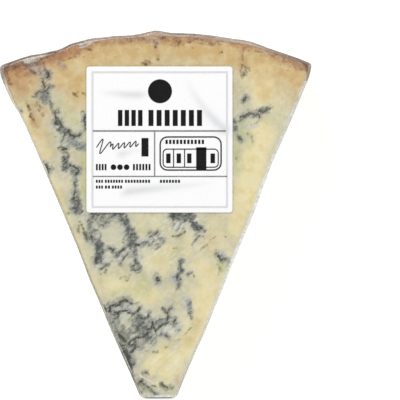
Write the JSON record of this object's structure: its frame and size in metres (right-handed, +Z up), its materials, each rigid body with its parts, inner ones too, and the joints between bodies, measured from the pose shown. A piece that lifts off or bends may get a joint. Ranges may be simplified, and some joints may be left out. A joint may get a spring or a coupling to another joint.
{
  "type": "wrapped wedge of blue stilton cheese",
  "caption": "Wedge of blue-veined cheese with a dry rind, sealed in tight clear film and lying on a cut face, with a square paper price label on the upper cut face.",
  "frame": {"origin": "centre of the bounding box, at the flat underside that the wedge rests on", "axes": "+Z up through the labelled cut face, +Y along the wedge's middle line from the tip to the rind, +X to the right of the label"},
  "size_m": [0.0784, 0.0923, 0.0426],
  "materials": {
    "cheese": "moist cream-coloured cut cheese with grey-blue veins and a brown-grey dry rind, under glossy clear film",
    "label_paper": "smooth coated white label paper with plain dark print"
  },
  "bodies": {
    "root": {"cheese_wedge": "cheese", "label": "label_paper"}
  },
  "joints": []
}
